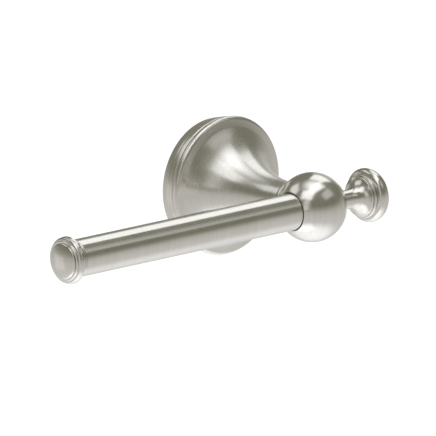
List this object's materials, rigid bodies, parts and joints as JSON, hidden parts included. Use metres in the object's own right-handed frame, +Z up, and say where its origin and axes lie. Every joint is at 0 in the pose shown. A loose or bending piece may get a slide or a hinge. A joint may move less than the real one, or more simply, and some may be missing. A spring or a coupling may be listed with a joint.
{
  "type": "toilet paper holder",
  "caption": "Single-post toilet paper holder in brushed nickel: flared round escutcheon, ball hub with a lifting tube arm, stepped end cap and bell-shaped finial.",
  "frame": {"origin": "middle of the wall bracket's back face, on the wall and on the post's axis", "axes": "+Z up, +Y into the wall along the post, so the post stands out along -Y; the arm lies along X with its free end towards -X"},
  "size_m": [0.1941, 0.1035, 0.0644],
  "materials": {
    "brushed_nickel": "satin nickel plate, finely brushed",
    "zinc_plated_steel": "zinc plated",
    "fastener_steel": "plain turned steel",
    "brass": "plain turned",
    "nylon": "natural nylon",
    "anchor_plastic": "moulded grey plastic"
  },
  "bodies": {
    "wall_mount": {"wall_bracket": "zinc_plated_steel", "wall_screw_upper": "zinc_plated_steel", "wall_screw_lower": "zinc_plated_steel", "wall_anchor_upper": "anchor_plastic", "wall_anchor_lower": "anchor_plastic"},
    "post": {"escutcheon_base": "brushed_nickel", "escutcheon_trumpet": "brushed_nickel", "pivot_bush": "brass", "pivot_nylon_washer": "nylon", "pivot_spring_washer": "fastener_steel"},
    "set_screw": {"escutcheon_set_screw": "fastener_steel"},
    "arm": {"neck_collar": "brushed_nickel", "ball_hub": "brushed_nickel", "arm_tube": "brushed_nickel", "arm_end_plug": "brass", "pivot_bolt": "fastener_steel", "stop_pin": "fastener_steel"},
    "end_spacer": {"end_collar": "brushed_nickel"},
    "end_cap": {"end_bead": "brushed_nickel", "end_button": "brushed_nickel", "end_stud": "fastener_steel"},
    "finial_spacer": {"finial_washer": "nylon"},
    "finial": {"finial_bell": "brushed_nickel", "finial_ring": "brushed_nickel", "finial_knob": "brushed_nickel", "finial_stud": "fastener_steel"}
  },
  "joints": [
    {"name": "holder_pull_off", "type": "slide", "parent": "wall_mount", "child": "post", "axis": [0, -1, 0], "range_m": [0, 0.012]},
    {"name": "set_screw_turn", "type": "hinge", "parent": "post", "child": "set_screw", "pos_m": [0, -0.0046, -0.0271], "axis": [0, 0, -1], "range_deg": [0, 1440]},
    {"name": "arm_lift", "type": "hinge", "parent": "post", "child": "arm", "pos_m": [0, -0.068, 0], "axis": [0, 1, 0], "range_deg": [0, 90]},
    {"name": "end_collar_travel", "type": "slide", "parent": "arm", "child": "end_spacer", "axis": [-1, 0, 0], "range_m": [0, 0.00961]},
    {"name": "end_cap_unscrew", "type": "hinge", "parent": "end_spacer", "child": "end_cap", "pos_m": [-0.15, -0.068, 0], "axis": [-1, 0, 0], "range_deg": [0, 4320]},
    {"name": "finial_washer_travel", "type": "slide", "parent": "arm", "child": "finial_spacer", "axis": [1, 0, 0], "range_m": [0, 0.00721]},
    {"name": "finial_unscrew", "type": "hinge", "parent": "finial_spacer", "child": "finial", "pos_m": [0.03, -0.068, 0], "axis": [1, 0, 0], "range_deg": [0, 3240]}
  ],
  "couplings": [
    {"joint": "end_collar_travel", "follows": "end_cap_unscrew", "m_per_rad": 0.00012732},
    {"joint": "finial_washer_travel", "follows": "finial_unscrew", "m_per_rad": 0.00012732}
  ]
}
